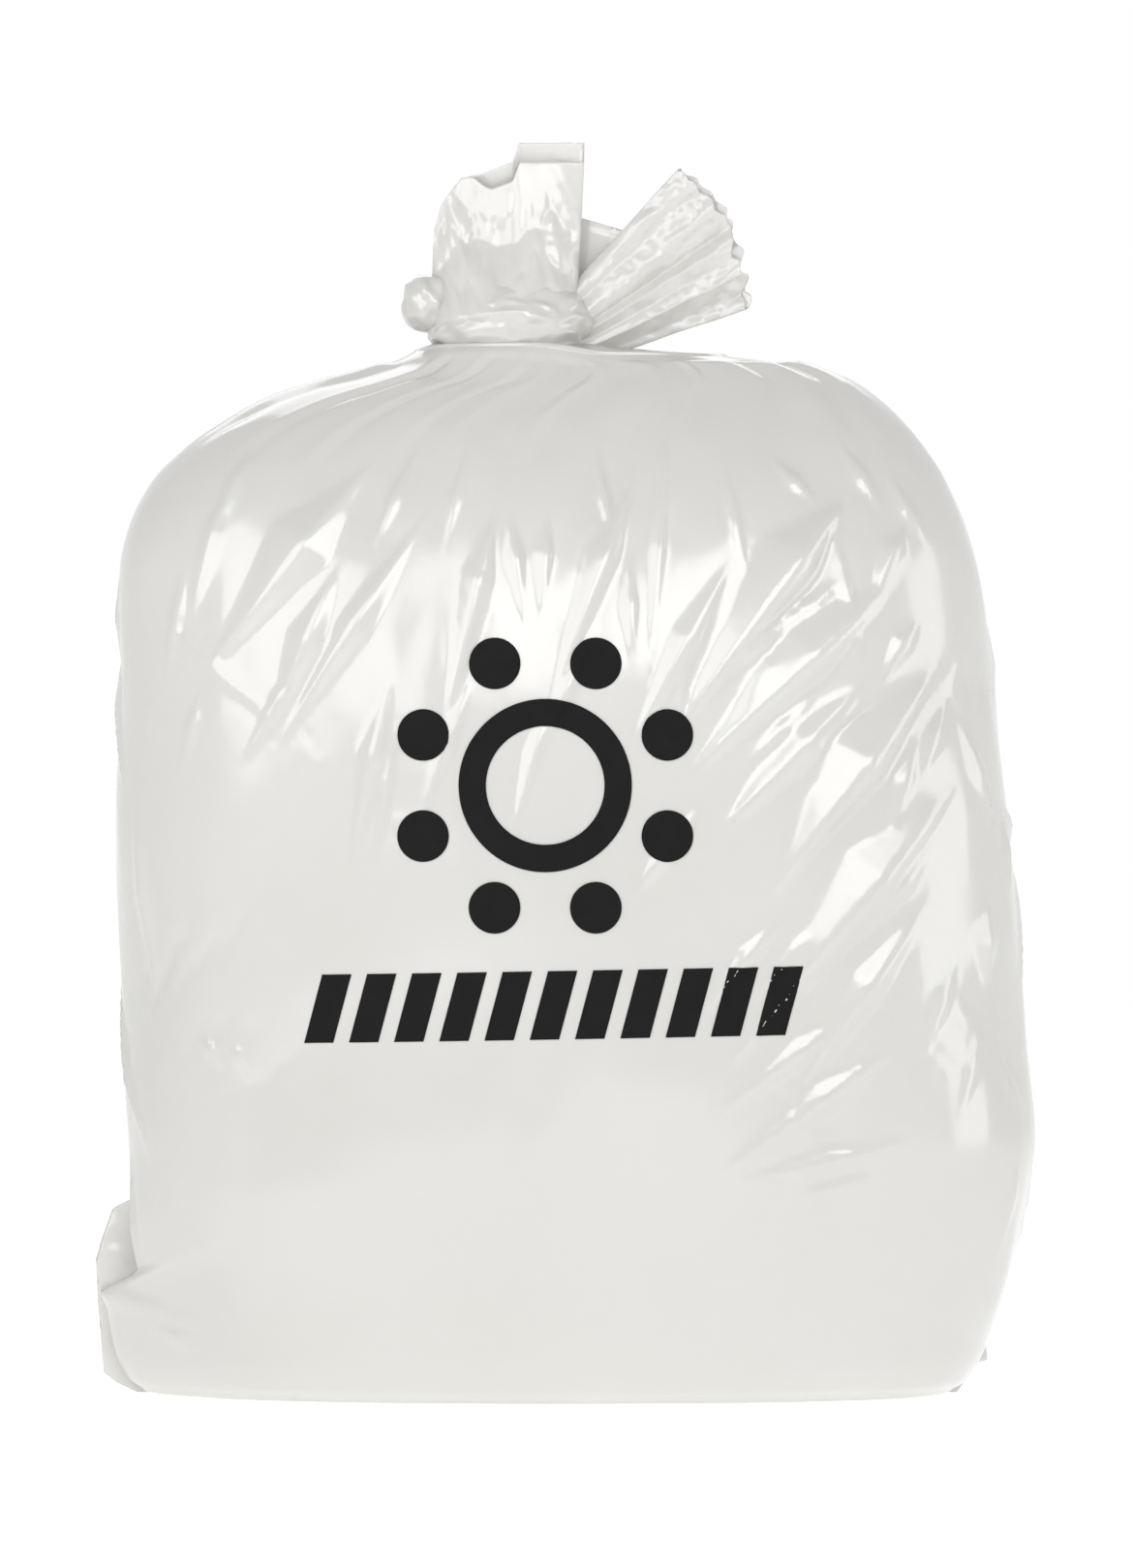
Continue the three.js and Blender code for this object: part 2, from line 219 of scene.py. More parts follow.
# Where the creases of the sides and the back start and how long they are, in millimetres. Places are
# measured round the bag from the middle of the front
OTHER_PLACES = (280, 1220)
OTHER_HEIGHTS = (150, 640)
OTHER_LENGTHS = (50, 170)

# The simulation of the film. The contents hold every point a little; the base and the neck are held fast
SIMULATED_FRAMES = 24
CONTENTS_HOLD = 0.03
NECK_HOLD = 0.988
GIRTH = 1.52
FILM_CLOTH = {
    "quality": 5,
    "mass": 0.06,
    "tension_stiffness": 40,
    "compression_stiffness": 40,
    "shear_stiffness": 15,
    "bending_stiffness": 0.05,
    "tension_damping": 2,
    "compression_damping": 2,
    "shear_damping": 2,
    "bending_damping": 0.2,
    "air_damping": 3,
    "pin_stiffness": 1.0,
    "use_pressure": True,
    "uniform_pressure_force": 0.4,
}

# How much longer the film is than the way it lies, as a share: everywhere, and what comes on top of it
SLACK_ROUND = {"all": 0.01, "upper": 0.02, "right": 0.025, "neck": 0.12}
SLACK_UP = {"all": 0.005, "upper": 0.01, "right": 0.035}

# What is raised before the simulation: a share of the creases, the lumps of the contents and the pleats
# of the neck, which reach down to their foot
DRAFT_CREASES = 0.2
LUMP_SIZE, LUMP_HEIGHT = 0.11, 0.005
PLEAT_COUNT = 17
PLEAT_DEPTH = 0.0026
PLEAT_FOOT = 0.60

# The fine wrinkles that are raised after it, and how far the film is drawn out to the left corner and up
# round the knot
WRINKLE_SIZE, WRINKLE_HEIGHT = 0.025, 0.0009
WRINKLE_RUN = (1, 1, 0.4)
CORNER_PULL = 0.024
NECK_LIFT = 0.006

# The knot and the lobe of film at its left, as middles and half sizes
KNOT = ((-0.036, 0.0, 0.720), (0.058, 0.046, 0.030))
BLOB_FULLNESS = 0.75
LOBE = ((-0.0905, -0.004, 0.7335), (0.0185, 0.022, 0.0195))

# The two tufts of film above the knot, in millimetres. Each is a flattened, pleated tube with an open
# end. An edge lists the free end from one side to the other, the spread is how wide the tube is along
# its length, and the belly how thick
TUFT_ROWS = 72
TUFT_COLUMNS = 200
EAR_ROOT = (12, 720)
EAR_ANGLE = math.radians(35)
EAR_EDGE = ((99, -56), (109, -41), (115, -26), (121, -8), (124, 6), (123, 30), (116, 48))
EAR_SPREAD = ((0, 0.22), (0.15, 0.48), (0.36, 0.62), (0.6, 0.75), (0.8, 0.88), (1, 1))
EAR_BELLY = ((0, 13), (0.16, 12), (0.5, 7), (1, 3.2))
BUNCH_ROOT = ((-91, 712), (8, 712))
BUNCH_EDGE = (
    (-88, 771),
    (-87, 783),
    (-84, 795),
    (-79, 805),
    (-69, 817),
    (-50, 823),
    (-34, 829),
    (-29, 842),
    (-8, 842),
    (15, 842),
)
BUNCH_BELLY = ((0, 38), (0.12, 46), (0.35, 31), (0.6, 14), (1, 3.4))
FILM_THICKNESS = 0.0007


def add_object(name, bm, smooth=True):
    """A finished piece from a bmesh, linked to the scene."""
    bmesh.ops.recalc_face_normals(bm, faces=bm.faces)
    mesh = bpy.data.meshes.new(name)
    bm.to_mesh(mesh)
    bm.free()
    mesh.polygons.foreach_set("use_smooth", [smooth] * len(mesh.polygons))
    piece = bpy.data.objects.new(name, mesh)
    bpy.context.scene.collection.objects.link(piece)
    return piece


def set_points(mesh, points):
    mesh.vertices.foreach_set("co", points.astype(np.float32).ravel())
    mesh.update()


def get_points(mesh):
    points = np.zeros(len(mesh.vertices) * 3, np.float32)
    mesh.vertices.foreach_get("co", points)
    return points.reshape(-1, 3).astype(float)


def lathe(rows, columns, poles=True):
    """A skin of rings round the Z axis, one row to a metre. With poles, it ends in a point both ways."""
    bm = bmesh.new()
    ends = (0, rows - 1) if poles else ()
    line = [bm.verts.new((0.0 if k in ends else 1.0, 0.0, float(k))) for k in range(rows)]
    edges = [bm.edges.new(pair) for pair in zip(line, line[1:])]
    bmesh.ops.spin(
        bm,
        geom=line + edges,
        cent=(0, 0, 0),
        axis=(0, 0, 1),
        angle=2 * math.pi,
        steps=columns,
        use_merge=True,
    )
    bmesh.ops.remove_doubles(bm, verts=bm.verts, dist=1e-4)
    return bm


def lathe_places(points, columns):
    """The row and the column of each point of a lathe."""
    row = np.rint(points[:, 2]).astype(int)
    turn = np.arctan2(points[:, 1], points[:, 0])
    return row, np.rint(turn / (2 * math.pi) * columns).astype(int) % columns


def crease_relief(across, up, creases):
    """How far the creases stand out at each point, in metres: kites with straight edges and a crest."""
    relief = np.zeros_like(across)
    across, up = across / MM, up / MM
    for x0, z0, x1, z1, lit, shaded, peak, slope in creases:
        run, rise = x1 - x0, z1 - z0
        length = math.hypot(run, rise)
        share = ((across - x0) * run + (up - z0) * rise) / length**2
        aside = ((across - x0) * rise - (up - z0) * run) / length
        taper = np.clip(np.minimum(share / peak, (1 - share) / (1 - peak)), 0, 1)
        away = np.where(aside > 0, aside / lit, -aside / shaded)
        relief = np.maximum(relief, slope * lit * MM * np.clip(taper - away, 0, 1))
    return relief


def scattered_creases():
    """Creases like those of the front for the sides and the back, laid out by chance from a fixed seed."""
    chance = np.random.default_rng(7)
    creases = []
    for _ in range(OTHER_CREASES):
        x = chance.uniform(*OTHER_PLACES)
        z = chance.uniform(*OTHER_HEIGHTS)
        lean = chance.normal(0, 0.5) + math.pi / 2
        length = chance.uniform(*OTHER_LENGTHS)
        lit, shaded = chance.uniform(7, 18, 2)
        end = (x + math.cos(lean) * length, z - math.sin(lean) * length)
        creases.append((x, z, *end, lit, shaded, chance.uniform(0.3, 0.6), chance.uniform(0.2, 0.3)))
    return creases


def refine(grid, closed):
    """Twice as many points both ways, on a smooth surface through the points of the grid."""
    for axis, wraps in ((0, False), (1, closed)):
        g = np.moveaxis(grid, axis, 0)
        if wraps:
            before, after, beyond = np.roll(g, 1, 0), np.roll(g, -1, 0), np.roll(g, -2, 0)
            middle = (9 * (g + after) - before - beyond) / 16
            fine = np.stack((g, middle), 1).reshape(-1, *g.shape[1:])
        else:
            padded = np.concatenate((2 * g[:1] - g[1:2], g, 2 * g[-1:] - g[-2:-1]))
            middle = (9 * (padded[1:-2] + padded[2:-1]) - padded[:-3] - padded[3:]) / 16
            fine = np.empty((2 * len(g) - 1, *g.shape[1:]))
            fine[::2], fine[1::2] = g, middle
        grid = np.moveaxis(fine, 0, axis)
    return grid


def film_noise(points, size, seed):
    """Smooth noise from -1 to 1 at each point, with lumps of the given size."""
    shift = Vector((seed * 7.31, seed * 3.17, seed * 5.71))
    return np.array([noise.noise(Vector(p) / size + shift) for p in points])


def noise_values(points, seed):
    """Smooth noise from -1 to 1 at each point, with lumps of size 1."""
    shift = Vector((seed * 1.7, seed * 2.9, seed * 0.7))
    return np.array([noise.noise(Vector(p) + shift) for p in points])


def ramp(low, high, value):
    """0 below low, 1 above high, and a smooth step between them."""
    share = np.clip((value - low) / (high - low), 0, 1)
    return share * share * (3 - 2 * share)


def film_grid():
    """Where the film lies on its contents: rows from the middle of the base to the middle of the neck."""
    film = Film()
    rings = [film.ring(k) for k in range(SIDE_ROWS)]
    middle = np.array((BODY_MIDDLE, 0, 0))
    base = [middle + (rings[0] - middle) * (k / BASE_RINGS) for k in range(BASE_RINGS)]
    top = np.tile((NECK_SHIFT + BODY_MIDDLE, 0, BODY_HEIGHT), (COLUMNS, 1))
    return np.array([*base, *rings, top])


def relaxed_grid(lying):
    """The same film with no load on it: longer and wider than the way it lies, so that it wrinkles."""
    x, y, z = lying[..., 0], lying[..., 1], lying[..., 2]
    gathered = ramp(0.50, 0.68, z)
    right_front = ramp(-0.02, 0.10, x) * ramp(0.04, -0.04, y) * ramp(0.06, 0.16, z)
    upper = ramp(0.25, 0.45, z)
    wider = SLACK_ROUND["all"] + SLACK_ROUND["upper"] * upper + SLACK_ROUND["right"] * right_front
    wider = wider + SLACK_ROUND["neck"] * gathered
    longer = SLACK_UP["all"] + SLACK_UP["upper"] * upper + SLACK_UP["right"] * right_front
    up_steps = np.linalg.norm(np.diff(lying, axis=0), axis=2)
    height = np.concatenate((np.zeros((1, COLUMNS)), np.cumsum(up_steps * (1 + longer[1:]), axis=0)))
    relaxed = lying.copy()
    relaxed[..., 2] = height
    for k in range(BASE_RINGS, len(lying) - 1):
        closed = np.vstack((lying[k], lying[k][:1]))
        steps = np.linalg.norm(np.diff(closed, axis=0), axis=1)
        stretched = steps * (1 + wider[k])
        lengths = np.concatenate(([0], np.cumsum(steps)))
        share = np.concatenate(([0], np.cumsum(stretched)))[:-1] / stretched.sum() * lengths[-1]
        growth = stretched.sum() / steps.sum()
        for axis in (0, 1):
            relaxed[k, :, axis] = np.interp(share, lengths, closed[:, axis]) * growth
    relaxed[:BASE_RINGS, :, 2] = 0
    return relaxed


def make_body():
    """The filled body of the bag: the film is simulated round its contents, then creased."""
    lying = film_grid()
    relaxed = relaxed_grid(lying)
    coarse = add_object("film_draft", lathe(len(lying), COLUMNS))
    row, column = lathe_places(get_points(coarse.data), COLUMNS)
    start = lying[row, column]
    set_points(coarse.data, start)
    height = start[:, 2]
    held = (row < BASE_RINGS + 1) | (height > NECK_HOLD * BODY_HEIGHT)
    relief = DRAFT_CREASES * film_creases(start, column / COLUMNS)
    relief += film_noise(start, LUMP_SIZE, 2) * LUMP_HEIGHT * ramp(0, 0.1, height)
    relief += pleat_relief(start, column / COLUMNS)
    set_points(coarse.data, start + get_normals(coarse.data) * (relief * ~held)[:, None])
    simulate_film(coarse, relaxed[row, column], np.where(held, 1.0, CONTENTS_HOLD))
    settled = np.empty_like(lying)
    settled[row, column] = get_points(coarse.data)
    settled[0], settled[-1] = settled[0, 0], settled[-1, 0]
    bpy.data.objects.remove(coarse)
    grid = refine(settled, True)
    body = add_object("film_body", lathe(len(grid), 2 * COLUMNS))
    row, column = lathe_places(get_points(body.data), 2 * COLUMNS)
    smooth = grid[row, column]
    set_points(body.data, smooth)
    relief = film_creases(smooth, column / (2 * COLUMNS))
    relief += film_noise(smooth * WRINKLE_RUN, WRINKLE_SIZE, 1) * WRINKLE_HEIGHT
    relief *= ramp(0.004, 0.03, smooth[:, 2]) * ramp(0.698, 0.68, smooth[:, 2])
    set_points(body.data, pull_corner(smooth + get_normals(body.data) * relief[:, None]))
    return body


def pull_corner(points):
    """Draw the film out into the left corner of the bottom weld, and up round the knot."""
    x, y, z = points.T
    corner = ramp(-0.215, -0.285, x) * ramp(CORNER_FOLD + 0.006, CORNER_FOLD - 0.012, z - 0.35 * (x + 0.30))
    near = np.hypot(x - NECK_SHIFT, y * 1.2)
    pulled = points.copy()
    pulled[:, 0] -= CORNER_PULL * corner
    pulled[:, 1] *= 1 - 0.45 * corner
    pulled[:, 2] += NECK_LIFT * ramp(0.082, 0.054, near) * ramp(0.6, 0.69, z)
    return pulled


def get_normals(mesh):
    normals = np.zeros(len(mesh.vertices) * 3, np.float32)
    mesh.vertices.foreach_get("normal", normals)
    return normals.reshape(-1, 3).astype(float)


def film_creases(points, share):
    """The creases of the front by place, and those of the sides and back by distance round the bag."""
    round_bag = way_round(share) * GIRTH - GIRTH / 2
    round_bag = np.where(round_bag < 0, round_bag + GIRTH, round_bag)
    front = crease_relief(points[:, 0], points[:, 2], MAIN_CREASES + SMALL_CREASES)
    others = crease_relief(round_bag, points[:, 2], scattered_creases())
    return np.where(points[:, 1] < 0, front, 0) + others


def pleat_relief(points, share):
    """Pleats that run down from the neck, of uneven width and reach, and fainter in front."""
    turn = share * 2 * math.pi
    circle = np.stack((np.cos(turn), np.sin(turn), np.zeros(len(turn))), 1)
    uneven = film_noise(circle, 0.25, 3)
    reach = PLEAT_FOOT + 0.05 * film_noise(circle, 0.3, 4)
    depth = PLEAT_DEPTH * ramp(0, 1, (points[:, 2] - reach) / (BODY_HEIGHT - reach))
    return depth * (0.65 + 0.35 * np.cos(turn)) * sharp_wave(PLEAT_COUNT * turn + 5 * uneven)


def simulate_film(body, rest, hold):
    """Let the film, of unloaded shape rest, settle under light pressure. Hold 1 keeps a point still."""
    body.shape_key_add(name="Basis")
    key = body.shape_key_add(name="rest")
    key.data.foreach_set("co", rest.astype(np.float32).ravel())
    key.value = 0
    group = body.vertex_groups.new(name="hold")
    for weight in np.unique(hold):
        group.add(np.flatnonzero(hold == weight).tolist(), float(weight), "REPLACE")
    cloth = body.modifiers.new("film", "CLOTH")
    settings = cloth.settings
    for setting, value in FILM_CLOTH.items():
        setattr(settings, setting, value)
    settings.rest_shape_key = key
    settings.vertex_group_mass = "hold"
    settings.effector_weights.gravity = 0
    cloth.collision_settings.use_collision = False
    cloth.point_cache.frame_start = 1
    cloth.point_cache.frame_end = SIMULATED_FRAMES
    scene = bpy.context.scene
    for step in range(1, SIMULATED_FRAMES + 1):
        scene.frame_set(step)
    graph = bpy.context.evaluated_depsgraph_get()
    evaluated = body.evaluated_get(graph)
    settled = get_points(evaluated.data)
    body.modifiers.remove(cloth)
    body.shape_key_clear()
    body.vertex_groups.clear()
    set_points(body.data, settled)
    scene.frame_set(1)


def spun_blob(name, middle, half, rows, columns, relief):
    """A rounded form with poles at its top and bottom. Relief is how far a point stands out, as a share."""
    piece = add_object(name, lathe(rows, columns))
    row, column = lathe_places(get_points(piece.data), columns)
    tilt = row / (rows - 1) * math.pi
    turn = column / columns * 2 * math.pi
    reach = np.clip(np.sin(tilt), 0, 1) ** BLOB_FULLNESS
    unit = np.stack((reach * np.sin(turn), -reach * np.cos(turn), -np.cos(tilt)), 1)
    grow = 1 + relief(unit) * np.sin(tilt)
    set_points(piece.data, np.array(middle) + unit * np.array(half) * grow[:, None])
    return piece


def sharp_wave(phase):
    """A zigzag from -1 to 1 with narrow crests."""
    return 2 / math.pi * np.arcsin(0.985 * np.sin(phase))


def crumple(x, z, size, seed):
    """The folds of crushed film: sharp crests with hollows between them, about as far apart as size."""
    points = np.stack((x, z, np.zeros_like(x)), -1).reshape(-1, 3)
    return 1 - 3 * np.abs(film_noise(points, size, seed)).reshape(x.shape)


def film_tube(name, grid):
    """An open tube of thin film from rings of points."""
    rows, columns = grid.shape[:2]
    bm = lathe(rows, columns, poles=False)
    row, column = lathe_places(np.array([v.co for v in bm.verts]), columns)
    for vert, k, c in zip(bm.verts, row, column):
        vert.co = grid[k, c]
    bmesh.ops.solidify(bm, geom=bm.faces[:], thickness=FILM_THICKNESS)
    return add_object(name, bm)


def film_flap(name, grid, thickness):
    """A flat piece of thin film from rows of points."""
    rows, columns = grid.shape[:2]
    bm = bmesh.new()
    bmesh.ops.create_grid(bm, x_segments=columns - 1, y_segments=rows - 1, size=0.5)
    for vert in bm.verts:
        k = round((vert.co.y + 0.5) * (rows - 1))
        c = round((vert.co.x + 0.5) * (columns - 1))
        vert.co = grid[k, c]
    bmesh.ops.solidify(bm, geom=bm.faces[:], thickness=thickness)
    return add_object(name, bm)


def tube_shape(columns):
    """For each column round a flattened tube: its place across from -1 to 1, and -1 in front or 1 behind."""
    share = (np.arange(columns) + 0.5) / columns
    across = 1 - 2 * np.abs(2 * share - 1)
    return across, np.where(share < 0.5, -1.0, 1.0)


def round_section(across):
    """How thick a tube with round sides is at each place across it, as a share of its middle."""
    return np.sqrt(np.clip(1 - across**2, 0.02, 1))


def along_edge(edge, across):
    """The two coordinates of the edge at each place across it from -1 to 1."""
    edge = np.array(edge, float)
    places = np.linspace(-1, 1, len(edge))
    return np.interp(across, places, edge[:, 0]), np.interp(across, places, edge[:, 1])


def make_ear():
    """The right tuft: a fan of pleats that leans out to the right."""
    across, side = tube_shape(TUFT_COLUMNS)
    edge_along, edge_across = along_edge(EAR_EDGE, across)
    rough = np.array([noise.noise(Vector((a * 6, s * 3, 0.3))) for a, s in zip(across, side)])
    share = np.linspace(0, 1, TUFT_ROWS)[:, None]
    spread = np.interp(share, *np.transpose(EAR_SPREAD))
    along = share * (edge_along + 16 + 6 * rough - 2.5 * (side < 0)) - 18
    width = spread * edge_across
    warp = np.array([noise.noise(Vector((a * 2.2, 0.5, 4.1))) for a in across])
    phase = across * 11.5 + 2.4 * warp + 0.7 * share * side
    pleats = sharp_wave(phase * 1.15) * (1.2 + 2.4 * share) + sharp_wave(phase * 0.5 + 1) * 3 * share
    pleats *= 1 - 0.7 * np.abs(across) ** 4
    belly = np.interp(share, *np.transpose(EAR_BELLY)) * round_section(across)
    deep = side * belly + pleats - 7 * share**2
    c, s = math.cos(EAR_ANGLE), math.sin(EAR_ANGLE)
    x = EAR_ROOT[0] + along * c - width * s
    z = EAR_ROOT[1] + along * s + width * c
    deep = deep + share * (2.6 * crumple(along * 0.5, width, 17, 3) + 0.8 * crumple(x, z, 8, 4))
    return film_tube("film_ear", np.stack((x, deep, z), 2) * MM)


def make_bunch():
    """The left tuft: it stands up from the knot and ends in a square flap."""
    across, side = tube_shape(TUFT_COLUMNS)
    edge_x, edge_z = along_edge(BUNCH_EDGE, across)
    rough = np.array([noise.noise(Vector((a * 5, s * 3, 7.3))) for a, s in zip(across, side)])
    flap = ramp(-0.05, 0.15, across)
    edge_z = edge_z + 3 * rough * (1 - flap) - 13 * flap * (side < 0)
    share = np.linspace(0, 1, TUFT_ROWS)[:, None]
    (left, low_z), (right, _) = BUNCH_ROOT
    root_x = left + (right - left) * (across + 1) / 2
    x = root_x + (edge_x - root_x) * share**0.8
    z = low_z + (edge_z - low_z) * share
    warp = np.array([noise.noise(Vector((a * 1.7, 2.5, 1.1))) for a in across])
    phase = across * 8 + 2.6 * warp + 1.2 * share
    pleats = sharp_wave(phase * 1.4) * (1.2 + 2.2 * share * (1 - 0.6 * flap))
    pleats = pleats + sharp_wave(phase * 0.6 + 2) * 3 * share
    pleats *= 1 - 0.7 * np.abs(across) ** 4
    belly = np.interp(share, *np.transpose(BUNCH_BELLY)) * round_section(across)
    deep = side * belly + pleats - 4 * share
    loose = ramp(0.1, 0.4, share) * (1 - 0.7 * flap * ramp(0.65, 0.9, share))
    folds = 2.6 * crumple(x + z * 0.3, z * 0.3 - x * 0.1, 15, 6)
    deep = deep + loose * (folds + 0.7 * crumple(x, z * 0.4, 7, 8))
    return film_tube("film_bunch", np.stack((x, deep, z), 2) * MM)


def make_rim():
    """The piece of the bag's mouth drawn straight between the two tufts, with its edge folded over."""
    rows, columns = 30, 30
    up = np.linspace(0, 1, rows)[:, None]
    right = np.linspace(0, 1, columns)[None, :]
    low = np.stack((blend_value(-4, 26, right), np.full(right.shape, 738.0)), 2)
    high = np.stack((blend_value(6, 47, right), blend_value(794, 781.5, right)), 2)
    place = blend_value(low, high, up[..., None])
    hem = np.where(up > 0.93, 1.2, 0)
    deep = 9 + 3 * np.sin(3 * right + 2 * up) + 1.2 * sharp_wave(9 * right + 2 * up) + hem
    return film_flap("film_rim", np.stack((place[..., 0], deep, place[..., 1]), 2) * MM, FILM_THICKNESS)


# The corners of the bottom weld, in millimetres: the X where each starts inside the body, and the
# height and X of points along its edge. Their foot is a little above the floor
CORNER_FOOT = 1.6
CORNER_EDGES = {
    "film_corner_left": (
        -262,
        (
            (0, -284),
            (8, -301),
            (15, -310),
            (30, -311.5),
            (64, -314),
            (90, -315),
            (104, -311),
            (124, -304),
            (132, -288),
        ),
    ),
    "film_corner_right": (
        250,
        (
            (0, 264),
            (12, 273),
            (21, 278),
            (23, 286),
            (40, 284),
            (56, 283),
            (63, 288),
            (69, 292.5),
            (75, 284),
        ),
    ),
}


def make_corner(name):
    """A corner of the bottom weld: doubled film that stands out flat at the side."""
    inner, edge = CORNER_EDGES[name]
    rows, columns = 60, 24
    heights = np.linspace(CORNER_FOOT, edge[-1][0], rows)[:, None]
    outer = np.interp(heights, *np.transpose(edge))
    share = np.linspace(0, 1, columns)[None, :]
    x = inner + (outer - inner) * share
    z = np.broadcast_to(heights, x.shape)
    fold = np.clip(1 - np.abs(z - 74 - 8 * (1 - share)) / 26, 0, 1) * 5 * share
    deep = 3 * np.sin(z / 19) * share - fold + 1.5 * np.sin(x / 9 + z / 13)
    return film_flap(name, np.stack((x, deep, z), 2) * MM, 2 * FILM_THICKNESS)


def make_knot():
    """The knot: a band of pleated film wound round the neck, with a lobe of it caught out at the left."""

    def band_folds(unit):
        bend = noise_values(unit * 1.7, 11)
        rise = unit[:, 2] * 7 + unit[:, 0] * 2.2 + 1.6 * bend
        return 0.02 * sharp_wave(rise * 1.2) + 0.06 * bend - 0.08 * np.abs(noise_values(unit * 3.1, 4))

    def lobe_folds(unit):
        return 0.10 * noise_values(unit * 2.3, 5) + 0.05 * sharp_wave(unit[:, 0] * 9 + unit[:, 2] * 5)

    knot = spun_blob("film_knot", *KNOT, 90, 140, band_folds)
    lobe = spun_blob("film_lobe", *LOBE, 50, 70, lobe_folds)
    return knot, lobe


# The print, in millimetres: a plain ring with round dots about it, and a row of slanted bars under it
PRINT_MIDDLE = (-12, 409)
RING = (39, 57)
DOTS = 8
DOT_RADIUS = 17
DOT_DISTANCE = 87
BARS = 11
BAR_ROW = (-171, 158, 242, 287)
BAR_SHARE = 0.65
BAR_SLANT = 12
PRINT_RISE = math.radians(1)
PRINT_LIFT = 0.0005
PRINT_STEP = 1.8


def lay_on_film(name, bm, tree):
    """Drop flat print, drawn in X and Z, onto the front of the film and give it the thickness of ink."""
    for vert in bm.verts:
        start = Vector((vert.co.x * MM, -1, vert.co.z * MM))
        place, normal, _, _ = tree.ray_cast(start, Vector((0, 1, 0)))
        vert.co = place + normal * PRINT_LIFT
    bmesh.ops.solidify(bm, geom=bm.faces[:], thickness=PRINT_LIFT / 2)
    return add_object(name, bm)


def add_ring(bm, x, z, low, high):
    """A flat ring from the radius low to the radius high, or a disc where low is 0."""
    steps = math.ceil((high - low) / PRINT_STEP)
    line = [bm.verts.new((x + blend_value(low, high, k / steps), 0, z)) for k in range(steps + 1)]
    edges = [bm.edges.new(pair) for pair in zip(line, line[1:])]
    bmesh.ops.spin(
        bm,
        geom=line + edges,
        cent=(x, 0, z),
        axis=(0, 1, 0),
        angle=2 * math.pi,
        steps=math.ceil(2 * math.pi * high / PRINT_STEP),
        use_merge=True,
    )
    bmesh.ops.remove_doubles(bm, verts=bm.verts, dist=0.01)


def make_print(body):
    """The printed ring, dots and bars, laid on the film of the front."""
    tree = BVHTree.FromPolygons(
        [v.co for v in body.data.vertices],
        [p.vertices for p in body.data.polygons],
    )
    x, z = PRINT_MIDDLE
    ring = bmesh.new()
    add_ring(ring, x, z, *RING)
    dots = bmesh.new()
    for k in range(DOTS):
        turn = 2 * math.pi * (k + 0.5) / DOTS
        add_ring(dots, x + DOT_DISTANCE * math.sin(turn), z + DOT_DISTANCE * math.cos(turn), 0, DOT_RADIUS)
    left, right, low, high = BAR_ROW
    bars = bmesh.new()
    pitch = (right - left - BAR_SLANT) / (BARS - 1 + BAR_SHARE)
    width = pitch * BAR_SHARE
    for k in range(BARS):
        middle = Vector((left + BAR_SLANT / 2 + pitch * k + width / 2, 0, (low + high) / 2))
        size = Matrix.Diagonal((width, high - low, 1, 1))
        bmesh.ops.create_grid(
            bars,
            x_segments=math.ceil(width / PRINT_STEP),
            y_segments=math.ceil((high - low) / PRINT_STEP),
            size=0.5,
            matrix=Matrix.Translation(middle) @ Matrix.Rotation(math.pi / 2, 4, "X") @ size,
        )
    for vert in bars.verts:
        vert.co.x += (vert.co.z - (low + high) / 2) / (high - low) * BAR_SLANT
        vert.co.z += (vert.co.x - (left + right) / 2) * math.tan(PRINT_RISE)
    return [
        lay_on_film("print_ring", ring, tree),
        lay_on_film("print_dots", dots, tree),
        lay_on_film("print_bars", bars, tree),
    ]


# A pale floor that reaches past the view and glows a little, so that it shows as white as the room
FLOOR_RADIUS = 14.0
FLOOR_GLOW = 0.62


def make_stage():
    bm = bmesh.new()
    bmesh.ops.create_circle(bm, cap_ends=True, segments=96, radius=FLOOR_RADIUS)
    floor = add_object("floor", bm, smooth=False)
    material = bpy.data.materials.new("pale_floor")
    material.use_nodes = True
    shader = material.node_tree.nodes["Principled BSDF"]
    shader.inputs["Base Color"].default_value = (0.85, 0.85, 0.85, 1)
    shader.inputs["Roughness"].default_value = 0.9
    shader.inputs["Emission Color"].default_value = (1, 1, 1, 1)
    shader.inputs["Emission Strength"].default_value = FLOOR_GLOW
    floor.data.materials.append(material)


# The photograph's frame is 1170 by 1619, and a millimetre of bag is 1.53 of its pixels
FRAME_HEIGHT = 1.057
CAMERA_DISTANCE = 7.0
CAMERA_HEIGHT = 0.410
CAMERA_SHIFT = 0.002
LENS = 240.0
SENSOR = LENS * FRAME_HEIGHT / CAMERA_DISTANCE


def make_camera():
    data = bpy.data.cameras.new("camera")
    data.lens = LENS
    data.sensor_width = SENSOR
    camera = bpy.data.objects.new("camera", data)
    camera.location = (CAMERA_SHIFT, -CAMERA_DISTANCE, CAMERA_HEIGHT)
    camera.rotation_euler = (math.pi / 2, 0, 0)
    bpy.context.scene.collection.objects.link(camera)
    bpy.context.scene.camera = camera


# The lamps: azimuth (0 in front, 90 to the right), elevation, distance, the two sizes of the lamp, and power
SOFTBOXES = {
    "left_softbox": (-38, 27, 2.4, (1.9, 1.4), 20),
    "front_softbox": (18, 30, 2.4, (1.9, 0.85), 17),
    "right_softbox": (84, 10, 2.4, (1.0, 1.7), 9),
    "back_softbox": (180, 42, 2.6, (2.0, 1.2), 10),
}

# How much less the room lights the bag than it shows
ROOM_DIMMING = 0.62


